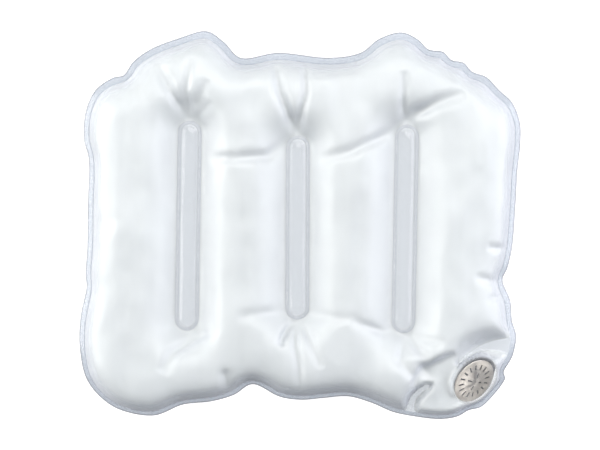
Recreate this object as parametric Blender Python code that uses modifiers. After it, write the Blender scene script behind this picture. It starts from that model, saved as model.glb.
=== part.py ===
"""A reusable click-disc heat pack: two clear films welded together round a salt solution.

The pack lies flat on a table, front film up. X runs along its length, Y across it and +Z up.
The origin is under the middle of the pack, on the table. Three weld bars divide the pouch into
four panels, and the pack folds along them. Sizes here are in millimetres until a mesh is written.
"""
import math

import bmesh
import bpy
import numpy as np
from mathutils import Matrix, Vector

MM = 0.001

# Films and fill
FILM = 0.4              # thickness of one film
GAP = 0.3               # clearance between neighbouring pieces
WELD_GAP = 1.1          # from a weld to the free film beside it
WELD_THICKNESS = 0.7    # two films fused together
WELD_PLANE = 6.0        # height of the welds, and of the fold axes, above the table
CROWN = 16.1            # inner face of the front film at the top of a lobe
FRONT_RISE = 12.5       # distance from a weld over which the front film rises to its crown
POCKET_RISE = 8.0       # the same in the disc's pocket
POCKET_REACH = 15.0
BACK_DROP = 9.0         # distance from a weld over which the back film drops to the table
HALF_SLIT = 0.3         # half the gap between the two films where they leave a weld
FILL_GAP = 0.9          # from a film to the solution
FILL_INSET = 0.5        # share of the outermost grid cell that the solution leaves empty
LEAST_FILL = 0.06

# Edge weld
FLANGE = 3.3
CORNER_FLANGE = 2.2     # the edge weld narrows round the disc's corner
OUTLINE_STEP = 0.1

# Outer edge of the pack, clockwise from the left shoulder of its top side
OUTLINE = [
    (-39, 79.5), (-31.5, 75), (-24, 68.4), (-9, 70.6), (10.5, 68.6), (24, 70.4), (32, 76.2),
    (41, 79), (48, 76.2), (52.5, 72), (58.5, 71), (62, 67.6), (67, 66.5), (70.5, 62.8),
    (76.5, 60.5), (81.5, 55.3), (87, 50), (90, 42), (90.2, 33), (89, 22), (88.2, 8),
    (87, -8), (85, -17.5), (82.9, -23), (86, -31), (86.8, -39.5), (88.5, -46), (87, -54),
    (83.6, -60.2), (84.2, -64), (80, -70), (74.5, -75.3), (69, -76.6), (64, -79), (57, -79.9),
    (48, -79), (38, -77), (29, -73.2), (19.5, -70.6), (9, -71.3), (0, -72), (-9, -70.6),
    (-19.5, -65.6), (-27.5, -70), (-37, -72.7), (-48.5, -74), (-60, -78.4), (-72.5, -76.7),
    (-81.5, -71.6), (-88.3, -62.8), (-90.8, -50), (-90.4, -38), (-88, -26), (-88.4, -20),
    (-87.6, -8), (-87.4, 8), (-87, 26), (-89, 35), (-88.4, 46), (-84.5, 55), (-77.5, 60.2),
    (-72.6, 61.5), (-68.5, 67.2), (-61, 72.4), (-50, 76.6),
]

# Weld bars, each from its lower end to its upper end
BAR_HALF_WIDTH = 4.9
BAR_RIM = 1.2           # fused border of a bar, round its thinner web
BAR_WEB_DROP = 0.12
BARS = {
    "left": ((-46.3, -38.3), (-45.1, 37.8)),
    "centre": ((-1.1, -33.8), (-0.9, 31.8)),
    "right": ((42.3, -39.3), (43.7, 36.3)),
}
FOLD_X = {"left": -45.7, "centre": -1.0, "right": 43.0}

# Welds that close off the disc's corner: outlines, and the way each runs into the edge weld
GATE_UPPER = [
    (64.3, -56.3), (67.2, -53.6), (71, -51), (75.5, -48.7), (80, -47.2), (83.9, -46.6),
    (83.7, -52.3), (80, -51.6), (76, -52), (72, -53.4), (68.3, -55.6), (65.2, -57.2),
]
GATE_LOWER = [
    (53.6, -65), (53.4, -66.6), (50.6, -68.6), (48.7, -70.8), (48, -73.3),
    (44.4, -72.7), (45.6, -70), (48, -67.4), (51, -65.4),
]
GATES = {"upper": (GATE_UPPER, (4, 0)), "lower": (GATE_LOWER, (0, -4))}
GATE_TO_EDGE = 2.2      # a gate weld's points this close to the edge of the film run into it
GATE_END = (64.6, -56.4)
GATE_LIFT = 2.2         # the weld stands higher where the disc leans towards it
GATE_LIFT_REACH = 7.0
CORNER = (78.5, -71.5)
CORNER_DROOP = 4.6      # the corner of the edge weld sags to the table
CORNER_REACH = 11.0

# Trigger disc
DISC_RADIUS = 9.7
DISC_THICKNESS = 0.4
DISC_DISH = 1.0         # height of the middle over the rim
DISC_FLAT_RIM = 7.6     # radius inside which the disc is dished
DISC_CENTRE = (71.2, -63.8, 7.4)
DISC_LEAN = math.radians(41)
DISC_FACING = math.radians(-41)  # compass direction that the leaning disc faces
DISC_CLEARANCE = 0.6
DISC_TRAVEL = 0.8       # how far the middle snaps
DISC_ROOM_OPENING = 1.0
DISC_STEPS = 40
SLITS = 16
SLIT_FROM, SLIT_TO, SLIT_WIDTH = 5.3, 7.7, 0.7
INNER_SLITS = 4
INNER_SLIT_FROM, INNER_SLIT_TO = 1.7, 3.9
COVER_SLOPE = 2.2       # how steeply a film falls away beside the disc

# Folds
FOLD_LIMIT = math.radians(60)
NOTCH = math.tan(FOLD_LIMIT / 2) * 1.15
FOLD_DIP = 0.4          # share of a lobe's height that it loses along a fold
FOLD_DIP_REACH = 6.0

# Mesh density: columns, then rows below, beside and above the weld bar
COARSE = (10, 4, 9, 4)
FINE = (13, 9, 10, 4)
EDGE_STEP = 5.0

CLEAR_FILM = ("clear_pvc_film", (0.87, 0.89, 0.92), 0.2, 0.0)
WELDED_FILM = ("welded_pvc_film", (0.80, 0.83, 0.87), 0.3, 0.0)
SALT_SOLUTION = ("salt_solution", (0.90, 0.92, 0.94), 0.1, 0.0)
DISC_STEEL = ("disc_steel", (0.62, 0.59, 0.55), 0.32, 1.0)


def start_empty():
    for old in list(bpy.data.objects):
        bpy.data.objects.remove(old, do_unlink=True)


def new_collection(name):
    made = bpy.data.collections.new(name)
    bpy.context.scene.collection.children.link(made)
    return made


def material(name, colour, roughness, metallic):
    made = bpy.data.materials.new(name)
    made.use_nodes = True
    shader = made.node_tree.nodes["Principled BSDF"]
    shader.inputs["Base Color"].default_value = (*colour, 1.0)
    shader.inputs["Roughness"].default_value = roughness
    shader.inputs["Metallic"].default_value = metallic
    return made


# ---- Plan of the pack -------------------------------------------------------------------

def smooth_loop(points):
    """A closed curve through the points (Catmull-Rom), resampled at OUTLINE_STEP."""
    knots = np.array(points, float)
    before, after = np.roll(knots, 1, axis=0), np.roll(knots, -1, axis=0)
    beyond = np.roll(knots, -2, axis=0)
    t = np.linspace(0, 1, 40, endpoint=False)[None, :, None]
    a, b, c, d = (p[:, None, :] for p in (before, knots, after, beyond))
    curve = 0.5 * (2 * b + (c - a) * t + (2 * a - 5 * b + 4 * c - d) * t**2
                   + (3 * b - a - 3 * c + d) * t**3)
    return resample(curve.reshape(-1, 2))


def resample(loop):
    closed = np.vstack([loop, loop[:1]])
    travelled = np.concatenate([[0], np.cumsum(np.linalg.norm(np.diff(closed, axis=0), axis=1))])
    at = np.arange(0, travelled[-1], OUTLINE_STEP)
    return np.column_stack([np.interp(at, travelled, closed[:, k]) for k in (0, 1)])


def centred(loop):
    return loop - (loop.min(axis=0) + loop.max(axis=0)) / 2


def softened(loop, reach):
    """The loop with bends tighter than the reach rounded off."""
    half = int(3 * reach / OUTLINE_STEP)
    weights = np.exp(-0.5 * (np.arange(-half, half + 1) * OUTLINE_STEP / reach) ** 2)
    weights /= weights.sum()
    padded = np.vstack([loop[-half:], loop, loop[:half]])
    return np.column_stack([np.convolve(padded[:, k], weights, mode="valid") for k in (0, 1)])


def inward(loop, distance):
    """The clockwise loop moved inwards; the distance may differ from point to point."""
    along = np.roll(loop, -1, axis=0) - np.roll(loop, 1, axis=0)
    along /= np.linalg.norm(along, axis=1)[:, None]
    to_inside = np.column_stack([along[:, 1], -along[:, 0]])
    return loop + to_inside * np.asarray(distance)[..., None]


def flange_width(loop):
    near_corner = np.exp(-(np.linalg.norm(loop - CORNER, axis=1) / CORNER_REACH) ** 2)
    return FLANGE + (CORNER_FLANGE - FLANGE) * near_corner


EDGE = centred(smooth_loop(OUTLINE))
SOFT_EDGE = softened(EDGE, 1.6)
WELD_LINE = inward(SOFT_EDGE, flange_width(SOFT_EDGE))
FILM_LINE = inward(WELD_LINE, np.full(len(WELD_LINE), WELD_GAP))


def index_at(loop, x, upper):
    """Where the loop crosses the given X on its upper or lower side."""
    side = (loop[:, 1] > 0) == upper
    return int(np.argmin(np.abs(loop[:, 0] - x) + np.where(side, 0, 1000)))


def index_near(loop, point):
    return int(np.argmin(np.linalg.norm(loop - point, axis=1)))


def stretch(loop, start, end, spread):
    """Points clockwise from one index to another; spread says how far along each one is."""
    length = (end - start) % len(loop)
    return loop[(start + np.round(spread * length).astype(int)) % len(loop)]


def distance_to_segments(points, starts, ends):
    along = ends - starts
    length_squared = np.maximum((along ** 2).sum(axis=1), 1e-12)
    offset = points[:, None, :] - starts[None]
    share = np.clip((offset * along).sum(axis=2) / length_squared, 0, 1)
    nearest = starts[None] + share[..., None] * along
    return np.linalg.norm(points[:, None, :] - nearest, axis=2).min(axis=1)


def inside_polygon(points, polygon):
    result = np.zeros(len(points), bool)
    ends = np.roll(polygon, -1, axis=0)
    for (x0, y0), (x1, y1) in zip(polygon, ends):
        if y0 == y1:
            continue
        crosses = (points[:, 1] > y0) != (points[:, 1] > y1)
        at = x0 + (points[:, 1] - y0) / (y1 - y0) * (x1 - x0)
        result ^= crosses & (points[:, 0] < at)
    return result


def distance_to_weld(points):
    """Plan distance from each point to the nearest weld, and 0 on one."""
    coarse = FILM_LINE[::15]
    found = distance_to_segments(points, coarse, np.roll(coarse, -1, axis=0))
    for low, high in BARS.values():
        to_spine = distance_to_segments(points, np.array([low]), np.array([high]))
        found = np.minimum(found, to_spine - BAR_HALF_WIDTH - WELD_GAP)
    for outline, _ in GATES.values():
        polygon = np.array(outline, float)
        to_gate = distance_to_segments(points, polygon, np.roll(polygon, -1, axis=0))
        to_gate = np.where(inside_polygon(points, polygon), 0, to_gate - WELD_GAP)
        found = np.minimum(found, to_gate)
    return np.maximum(found, 0)


# ---- Heights ----------------------------------------------------------------------------

def weld_height(points):
    """The welds lie in one plane, but rise at the end of the gate and sag at the corner."""
    to_gate = np.linalg.norm(points - GATE_END, axis=1) / GATE_LIFT_REACH
    to_corner = np.linalg.norm(points - CORNER, axis=1) / CORNER_REACH
    return WELD_PLANE + GATE_LIFT * np.exp(-to_gate**2) - CORNER_DROOP * np.exp(-to_corner**4)


def swell(distance, reach):
    return np.sin(math.pi / 2 * np.clip(distance / reach, 0, 1)) ** 0.8


def fold_share(points):
    """How much of its height a lobe keeps near a fold line."""
    share = np.ones(len(points))
    for x in FOLD_X.values():
        share -= FOLD_DIP * np.exp(-((points[:, 0] - x) / FOLD_DIP_REACH) ** 2)
    return share


def disc_frame():
    """The disc's centre, its level diameter, the diameter that climbs, and its normal."""
    facing = Vector((math.cos(DISC_FACING), math.sin(DISC_FACING), 0))
    level = Vector((-facing.y, facing.x, 0))
    normal = facing * math.sin(DISC_LEAN) + Vector((0, 0, math.cos(DISC_LEAN)))
    return Vector(DISC_CENTRE), level, normal.cross(level), normal


def beside_disc(points):
    """Height of the disc's plane under each point, and how far the point is outside the disc."""
    centre, level, climb, _ = disc_frame()
    offset = points - np.array(centre[:2])
    along = offset @ np.array(level[:2])
    plan_climb = np.array(climb[:2])
    up = offset @ plan_climb / (plan_climb @ plan_climb)
    from_middle = np.hypot(along, up)
    shrink = np.minimum(1, DISC_RADIUS / np.maximum(from_middle, 1e-9))
    height = centre.z + up * shrink * climb.z
    return height, np.maximum(from_middle - DISC_RADIUS - 2 * DISC_CLEARANCE, 0)


def front_height(points):
    """Inner face of the front film, steeper in the small pocket that holds the disc."""
    weld = weld_height(points) + HALF_SLIT
    to_disc = np.linalg.norm(points - np.array(DISC_CENTRE[:2]), axis=1) / POCKET_REACH
    rise = FRONT_RISE + (POCKET_RISE - FRONT_RISE) * np.exp(-to_disc**4)
    dome = weld + (CROWN - weld) * swell(distance_to_weld(points), rise) * fold_share(points)
    disc, outside = beside_disc(points)
    over_disc = disc + DISC_CLEARANCE + DISC_THICKNESS + DISC_DISH - COVER_SLOPE * outside
    return np.maximum(dome, over_disc)


def back_height(points):
    """Inner face of the back film, flat where it rests on the table."""
    weld = weld_height(points) - HALF_SLIT
    dome = weld - (weld - FILM) * swell(distance_to_weld(points), BACK_DROP)
    disc, outside = beside_disc(points)
    under_disc = disc - DISC_CLEARANCE - DISC_THICKNESS + COVER_SLOPE * outside
    return np.maximum(np.minimum(dome, under_disc), FILM)


# ---- Panels -----------------------------------------------------------------------------

def crowded(count, pull):
    """count + 1 values from 0 to 1, closer together at both ends."""
    even = np.linspace(0, 1, count + 1)
    return (1 - pull) * even + pull * (0.5 - 0.5 * np.cos(math.pi * even))


def fold_side(fold, side, low_y, high_y, density):
    """A panel's boundary beside a fold line: round the weld bar, and close to the fold beyond."""
    low, high = BARS[fold]
    reach = BAR_HALF_WIDTH + WELD_GAP
    low_tip, high_tip = low[1] - reach, high[1] + reach
    _, below, beside, above = density
    y = np.concatenate([
        low_y + (low_tip - low_y) * crowded(below, 0.3)[:-1],
        low_tip + (high_tip - low_tip) * crowded(beside, 1.0),
        high_tip + (high_y - high_tip) * crowded(above, 0.3)[1:],
    ])
    past_end = np.maximum(low[1] - y, 0) + np.maximum(y - high[1], 0)
    margin = np.maximum(np.sqrt(np.maximum(reach**2 - past_end**2, 0)), GAP)
    spine = np.interp(y, (low[1], high[1]), (low[0], high[0]))
    beside_bar = past_end < reach
    middle = np.where(beside_bar & (margin > GAP), spine, FOLD_X[fold])
    return np.column_stack([middle + side * margin, y])


def transfinite(bottom, top, left, right):
    """Grid of points that meets all four boundary curves (a Coons patch)."""
    s = share_travelled(bottom)[:, None, None]
    t = share_travelled(left)[None, :, None]
    ruled = (1 - t) * bottom[:, None] + t * top[:, None] + (1 - s) * left[None] + s * right[None]
    corners = ((1 - s) * (1 - t) * bottom[0] + s * (1 - t) * bottom[-1]
               + (1 - s) * t * top[0] + s * t * top[-1])
    return ruled - corners


def share_travelled(curve):
    """Share of its length that each point of a curve has travelled."""
    steps = np.concatenate([[0], np.cumsum(np.linalg.norm(np.diff(curve, axis=0), axis=1))])
    return steps / steps[-1]


def inner_panel(left_fold, right_fold, density):
    across = crowded(density[0], 0.5)
    x0, x1 = FOLD_X[left_fold] + GAP, FOLD_X[right_fold] - GAP
    corners = [index_at(FILM_LINE, x, upper)
               for x, upper in ((x0, True), (x1, True), (x1, False), (x0, False))]
    top = stretch(FILM_LINE, corners[0], corners[1], across)
    bottom = stretch(FILM_LINE, corners[2], corners[3], across)[::-1]
    left = fold_side(left_fold, 1, bottom[0, 1], top[0, 1], density)
    right = fold_side(right_fold, -1, bottom[-1, 1], top[-1, 1], density)
    return transfinite(bottom, top, left, right)


def outer_panel(fold, side, low_corner, high_corner, density):
    """A panel between a fold and the end of the pack, on the side given by -1 or 1."""
    x = FOLD_X[fold] + side * GAP
    low, high = index_at(FILM_LINE, x, False), index_at(FILM_LINE, x, True)
    low_turn, high_turn = index_near(FILM_LINE, low_corner), index_near(FILM_LINE, high_corner)
    across, up = crowded(density[0], 0.5), crowded(sum(density[1:]), 0.5)
    if side > 0:
        top = stretch(FILM_LINE, high, high_turn, across)
        end = stretch(FILM_LINE, high_turn, low_turn, up)[::-1]
        bottom = stretch(FILM_LINE, low_turn, low, across)[::-1]
        left = fold_side(fold, 1, bottom[0, 1], top[0, 1], density)
        return transfinite(bottom, top, left, end)
    top = stretch(FILM_LINE, high_turn, high, across)
    end = stretch(FILM_LINE, low_turn, high_turn, up)
    bottom = stretch(FILM_LINE, low, low_turn, across)[::-1]
    right = fold_side(fold, -1, bottom[-1, 1], top[-1, 1], density)
    return transfinite(bottom, top, end, right)


def notched(plan, height, fold_columns):
    """The grid in 3D, its fold sides drawn back with height so that the pack can fold."""
    points = np.concatenate([plan, height[..., None]], axis=2)
    for fold, column in fold_columns.items():
        inner = 1 if column == 0 else -1
        rise = np.abs(points[column, :, 2] - WELD_PLANE)
        room = np.abs(points[column, :, 0] - FOLD_X[fold])
        back = np.maximum(rise * NOTCH + GAP - room, 0)
        for step, share in enumerate((1.0, 0.6, 0.2)):
            points[column + inner * step, :, 0] += inner * back * share
    return points


def heights(plan, height_of):
    return height_of(plan.reshape(-1, 2)).reshape(plan.shape[:2])


def grid_mesh(points):
    """An open sheet: a bmesh grid whose vertices are moved to the given points.

    Each vertex keeps its place in the grid as a number, counted row by row.
    """
    columns, rows = points.shape[:2]
    mesh = bmesh.new()
    place = mesh.verts.layers.int.new("place")
    bmesh.ops.create_grid(mesh, x_segments=columns - 1, y_segments=rows - 1, size=0.5)
    for vertex in mesh.verts:
        column = round((vertex.co.x + 0.5) * (columns - 1))
        row = round((vertex.co.y + 0.5) * (rows - 1))
        vertex.co = Vector(points[column, row]) * MM
        vertex[place] = column * rows + row
    bmesh.ops.triangulate(mesh, faces=mesh.faces, quad_method="FIXED")
    return mesh


def film_mesh(points, facing_up):
    mesh = grid_mesh(points)
    if not facing_up:
        bmesh.ops.reverse_faces(mesh, faces=mesh.faces)
    return mesh


def drawn_in(points, drop):
    """The film's grid drawn in from its rim and moved off the film, for what fills it."""
    filled = points.copy()
    filled[0] += FILL_INSET * (points[1] - points[0])
    filled[-1] += FILL_INSET * (points[-2] - points[-1])
    filled[:, 0] += FILL_INSET * (filled[:, 1] - filled[:, 0])
    filled[:, -1] += FILL_INSET * (filled[:, -2] - filled[:, -1])
    filled[..., 2] += drop
    return filled


def fill_mesh(front, back):
    """The closed body between two grids of the same size, never thinner than LEAST_FILL."""
    front, back = drawn_in(front, -FILL_GAP), drawn_in(back, FILL_GAP)
    middle = (front[..., 2] + back[..., 2]) / 2
    half = np.maximum((front[..., 2] - back[..., 2]) / 2, LEAST_FILL / 2)
    front[..., 2], back[..., 2] = middle + half, middle - half
    mesh = grid_mesh(back)
    raised = bmesh.ops.extrude_face_region(mesh, geom=mesh.faces[:])
    place = mesh.verts.layers.int["place"]
    flat_front = front.reshape(-1, 3)
    for item in raised["geom"]:
        if isinstance(item, bmesh.types.BMVert):
            item.co = Vector(flat_front[item[place]]) * MM
    bmesh.ops.recalc_face_normals(mesh, faces=mesh.faces)
    return mesh


# ---- Objects ----------------------------------------------------------------------------

class Builder:
    """Makes objects in the parts or cutters collection, hung on the right panel."""

    def __init__(self):
        start_empty()
        self.parts = new_collection("click_heat_pack")
        self.cutters = new_collection("cutters")
        self.materials = {}

    def finish(self, name, mesh, look, body=None, smooth=False):
        data = bpy.data.meshes.new(name)
        mesh.to_mesh(data)
        mesh.free()
        if look[0] not in self.materials:
            self.materials[look[0]] = material(*look)
        data.materials.append(self.materials[look[0]])
        if smooth:
            data.shade_smooth()
            data.set_sharp_from_angle(angle=math.radians(40))
        made = bpy.data.objects.new(name, data)
        self.parts.objects.link(made)
        if body is not None:
            data.transform(Matrix.Translation(-body.matrix_world.translation))
            made.parent = body
        return made

    def cutter(self, name, mesh):
        data = bpy.data.meshes.new(name)
        mesh.to_mesh(data)
        mesh.free()
        made = bpy.data.objects.new(name, data)
        made.hide_render = True
        made.display_type = "WIRE"
        self.cutters.objects.link(made)
        return made

    def hinge(self, name, position, parent=None):
        made = bpy.data.objects.new(name, None)
        made.empty_display_size = 0.01
        self.parts.objects.link(made)
        made.parent = parent
        made.location = Vector(position) * MM
        if parent is not None:
            made.location -= parent.matrix_world.translation
        bpy.context.view_layer.update()
        return made


def solidify(made, thickness, offset):
    modifier = made.modifiers.new("thickness", "SOLIDIFY")
    modifier.thickness = thickness * MM
    modifier.offset = offset


def cut(made, cutter):
    modifier = made.modifiers.new(f"cut_{cutter.name}", "BOOLEAN")
    modifier.operation = "DIFFERENCE"
    modifier.solver = "EXACT"
    modifier.object = cutter


def slab_mesh(outline, low, high):
    """A closed slab with the given plan; low and high are functions of plan points."""
    mesh = bmesh.new()
    plan = np.array(outline, float)
    ring = [mesh.verts.new((x * MM, y * MM, z * MM)) for (x, y), z in zip(plan, low(plan))]
    face = mesh.faces.new(ring)
    raised = bmesh.ops.extrude_face_region(mesh, geom=[face])
    tops = [item for item in raised["geom"] if isinstance(item, bmesh.types.BMVert)]
    at = np.array([(v.co.x / MM, v.co.y / MM) for v in tops])
    for vertex, z in zip(tops, high(at)):
        vertex.co.z = z * MM
    bmesh.ops.recalc_face_normals(mesh, faces=mesh.faces)
    return mesh


def obround(low, high, radius, steps=10):
    """Outline of a bar with round ends."""
    low, high = Vector(low), Vector(high)
    heading = math.atan2(high.y - low.y, high.x - low.x)
    turns = np.linspace(-math.pi / 2, math.pi / 2, steps + 1)
    upper = [high + radius * Vector((math.cos(heading + a), math.sin(heading + a))) for a in turns]
    lower = [low - radius * Vector((math.cos(heading + a), math.sin(heading + a))) for a in turns]
    return [tuple(point) for point in upper + lower]


def weld_bar_mesh(low, high):
    """A fused bar: a rim all round and a slightly thinner web inside it."""
    half = WELD_THICKNESS / 2
    mesh = slab_mesh(obround(low, high, BAR_HALF_WIDTH),
                     lambda plan: np.full(len(plan), WELD_PLANE - half),
                     lambda plan: np.full(len(plan), WELD_PLANE + half))
    for face in [f for f in mesh.faces if len(f.verts) > 4]:
        side = 1 if face.normal.z > 0 else -1
        bmesh.ops.inset_region(mesh, faces=[face], thickness=BAR_RIM * MM)
        for vertex in face.verts:
            vertex.co.z -= side * BAR_WEB_DROP * MM
    return mesh


def gate_mesh(outline):
    half = WELD_THICKNESS / 2
    return slab_mesh(outline, lambda plan: weld_height(plan) - half,
                     lambda plan: weld_height(plan) + half)


def widened(outline, distance):
    """The outline moved outwards; it runs clockwise."""
    points = np.array(outline, float)
    before, after = np.roll(points, 1, axis=0), np.roll(points, -1, axis=0)
    in_dir = (points - before) / np.linalg.norm(points - before, axis=1)[:, None]
    out_dir = (after - points) / np.linalg.norm(after - points, axis=1)[:, None]
    bisector = in_dir + out_dir
    bisector /= np.linalg.norm(bisector, axis=1)[:, None]
    outward = np.column_stack([-bisector[:, 1], bisector[:, 0]])
    stretch_by = 1 / np.maximum((in_dir * bisector).sum(axis=1), 0.5)
    return points + outward * (distance * stretch_by)[:, None]


def gate_room_mesh(outline, into_edge):
    """A tall cutter a little wider than the gate weld, run on through the edge of the film."""
    room = widened(outline, GAP)
    starts, ends = FILM_LINE, np.roll(FILM_LINE, -1, axis=0)
    at_edge = distance_to_segments(room, starts[::15], ends[::15]) < GATE_TO_EDGE
    first, last = np.flatnonzero(at_edge)[[0, -1]]
    run_out = room[first:last + 1] + into_edge
    room = np.vstack([room[:first + 1], run_out, room[last:]])
    return slab_mesh(room, lambda plan: np.full(len(plan), -2.0),
                     lambda plan: np.full(len(plan), CROWN + 4))


def strip_mesh(inner, outer):
    """An open band between two rows of points, at the height of the welds."""
    plan = np.stack([inner, outer])
    return grid_mesh(np.concatenate([plan, heights(plan, weld_height)[..., None]], axis=2))


def edge_strip(start_x, start_upper, end_x, end_upper):
    """The edge weld, clockwise from one fold line to another."""
    ends = [(index_at(loop, start_x, start_upper), index_at(loop, end_x, end_upper))
            for loop in (WELD_LINE, EDGE)]
    longest = (ends[1][1] - ends[1][0]) % len(EDGE) * OUTLINE_STEP
    spread = np.linspace(0, 1, max(4, round(longest / EDGE_STEP)) + 1)
    inner = stretch(WELD_LINE, *ends[0], spread)
    outer = stretch(EDGE, *ends[1], spread)
    return strip_mesh(inner, outer)


def turned_disc(profile, name):
    """A closed turned body from an open profile that starts and ends on the axis."""
    mesh = bmesh.new()
    verts = [mesh.verts.new((r * MM, 0, z * MM)) for r, z in profile]
    for first, second in zip(verts, verts[1:]):
        mesh.edges.new((first, second))
    data = bpy.data.meshes.new(name)
    mesh.to_mesh(data)
    mesh.free()
    made = bpy.data.objects.new(name, data)
    screw = made.modifiers.new("turn", "SCREW")
    screw.steps = screw.render_steps = DISC_STEPS
    screw.use_merge_vertices = True
    screw.merge_threshold = 0.00001
    screw.use_smooth_shade = True
    return made


def disc_profile():
    """Half section: down the outer side, dished in the middle."""
    half = DISC_THICKNESS / 2
    radii = (0, 2.2, 4.4, 6.2, DISC_FLAT_RIM)
    rise = [DISC_DISH * (0.5 + 0.5 * math.cos(math.pi * r / DISC_FLAT_RIM)) for r in radii]
    top = [(r, z + half) for r, z in zip(radii, rise)]
    bottom = [(r, z - half) for r, z in zip(radii, rise)]
    soft = 0.12
    rim = [(DISC_RADIUS - soft, half), (DISC_RADIUS, half - soft),
           (DISC_RADIUS, soft - half), (DISC_RADIUS - soft, -half)]
    return top + rim + bottom[::-1]


def slit_boxes():
    """Radial slits: a ring of long ones near the rim and a few short ones near the middle."""
    mesh = bmesh.new()
    rings = ((SLITS, SLIT_FROM, SLIT_TO, 0.0), (INNER_SLITS, INNER_SLIT_FROM, INNER_SLIT_TO, 0.4))
    for count, start, end, turn in rings:
        for step in range(count):
            size = Matrix.Diagonal(((end - start) * MM, SLIT_WIDTH * MM, 4 * MM, 1))
            out = Matrix.Translation(((start + end) / 2 * MM, 0, 0))
            spin = Matrix.Rotation(turn + step * math.tau / count, 4, "Z")
            bmesh.ops.create_cube(mesh, size=1.0, matrix=spin @ out @ size)
    return mesh


def disc_placement():
    centre, level, climb, normal = disc_frame()
    turned = Matrix((level, climb, normal)).transposed().to_4x4()
    return Matrix.Translation(centre * MM) @ turned


def disc_room_mesh():
    """The room that the disc and its travel need in the solution, open at the disc's low edge."""
    low, high = -DISC_THICKNESS / 2 - GAP, DISC_THICKNESS / 2 + DISC_DISH + DISC_TRAVEL + GAP
    radius = (DISC_RADIUS + GAP + DISC_ROOM_OPENING / 2) * MM
    centre = Matrix.Translation(Vector((0, -DISC_ROOM_OPENING / 2, (low + high) / 2)) * MM)
    mesh = bmesh.new()
    bmesh.ops.create_cone(mesh, cap_ends=True, segments=32, radius1=radius, radius2=radius,
                          depth=(high - low) * MM, matrix=disc_placement() @ centre)
    return mesh


# Each panel: its plan, and the grid column that lies along each fold
PANELS = {
    "left_outer": (outer_panel, ("left", -1, (-78, -66.5), (-76, 56.5), COARSE), {"left": -1}),
    "left_inner": (inner_panel, ("left", "centre", COARSE), {"left": 0, "centre": -1}),
    "right_inner": (inner_panel, ("centre", "right", COARSE), {"centre": 0, "right": -1}),
    "right_outer": (outer_panel, ("right", 1, (77.5, -69), (78, 56), FINE), {"right": 0}),
}


def main():
    build = Builder()
    root = build.hinge("left_inner_panel", (0, 0, 0))
    bodies = {
        "left_inner": root,
        "left_outer": build.hinge("left_fold_axis", (FOLD_X["left"], 0, WELD_PLANE), root),
        "right_inner": build.hinge("centre_fold_axis", (FOLD_X["centre"], 0, WELD_PLANE), root),
    }
    bodies["right_outer"] = build.hinge(
        "right_fold_axis", (FOLD_X["right"], 0, WELD_PLANE), bodies["right_inner"])

    gate_room = [build.cutter(f"gate_{name}_room", gate_room_mesh(*gate))
                 for name, gate in GATES.items()]
    disc_room = build.cutter("disc_room", disc_room_mesh())

    for name, (plan_of, shape, fold_columns) in PANELS.items():
        plan, body = plan_of(*shape), bodies[name]
        front = notched(plan, heights(plan, front_height), fold_columns)
        back = notched(plan, heights(plan, back_height), fold_columns)
        sheets = (("front", front, True), ("back", back, False))
        pieces = []
        for side, points, up in sheets:
            film = build.finish(f"{side}_film_{name}", film_mesh(points, up), CLEAR_FILM, body, True)
            solidify(film, FILM, 1)
            pieces.append(film)
        pieces.append(build.finish(f"solution_{name}", fill_mesh(front, back),
                                   SALT_SOLUTION, body, True))
        if name == "right_outer":
            for piece in pieces:
                for room in gate_room:
                    cut(piece, room)
            cut(pieces[-1], disc_room)

    left, centre, right = (FOLD_X[fold] for fold in ("left", "centre", "right"))
    strips = {
        "edge_weld_left_outer": ("left_outer", left - GAP, False, left - GAP, True),
        "edge_weld_left_inner_top": ("left_inner", left + GAP, True, centre - GAP, True),
        "edge_weld_right_inner_top": ("right_inner", centre + GAP, True, right - GAP, True),
        "edge_weld_right_outer": ("right_outer", right + GAP, True, right + GAP, False),
        "edge_weld_right_inner_bottom": ("right_inner", right - GAP, False, centre + GAP, False),
        "edge_weld_left_inner_bottom": ("left_inner", centre - GAP, False, left + GAP, False),
    }
    for name, (panel, *ends) in strips.items():
        strip = build.finish(name, edge_strip(*ends), WELDED_FILM, bodies[panel])
        solidify(strip, WELD_THICKNESS, 0)

    for fold, panel in (("left", "left_outer"), ("centre", "right_inner"), ("right", "right_outer")):
        build.finish(f"weld_bar_{fold}", weld_bar_mesh(*BARS[fold]), WELDED_FILM, bodies[panel])
    for name, (outline, _) in GATES.items():
        build.finish(f"gate_weld_{name}", gate_mesh(outline), WELDED_FILM, bodies["right_outer"])

    slits = build.cutter("disc_slits", slit_boxes())
    disc = turned_disc(disc_profile(), "trigger_disc")
    build.parts.objects.link(disc)
    disc.data.materials.append(material(*DISC_STEEL))
    cut(disc, slits)
    slits.matrix_world = disc.matrix_world = disc_placement()


main()
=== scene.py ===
"""The looks of a reusable click-disc heat pack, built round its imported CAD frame.

Plan sizes and heights are in millimetres until a mesh is written. X runs along the pack, Y across it,
+Z up out of the front film, and the origin is on the table under the pack's middle.
"""
import math

import bpy
import numpy as np
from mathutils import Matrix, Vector, noise
from mathutils.geometry import delaunay_2d_cdt


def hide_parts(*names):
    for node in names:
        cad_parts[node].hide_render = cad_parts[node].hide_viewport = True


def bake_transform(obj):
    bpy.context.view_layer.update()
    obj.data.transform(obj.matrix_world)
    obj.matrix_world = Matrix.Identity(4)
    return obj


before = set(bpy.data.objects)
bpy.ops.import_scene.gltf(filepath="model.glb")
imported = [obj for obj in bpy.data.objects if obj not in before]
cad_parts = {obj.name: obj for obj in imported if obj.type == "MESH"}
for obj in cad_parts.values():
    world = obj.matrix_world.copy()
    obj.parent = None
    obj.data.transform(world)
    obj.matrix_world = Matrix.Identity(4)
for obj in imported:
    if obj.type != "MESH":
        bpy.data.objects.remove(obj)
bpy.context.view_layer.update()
MM = 0.001

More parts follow.
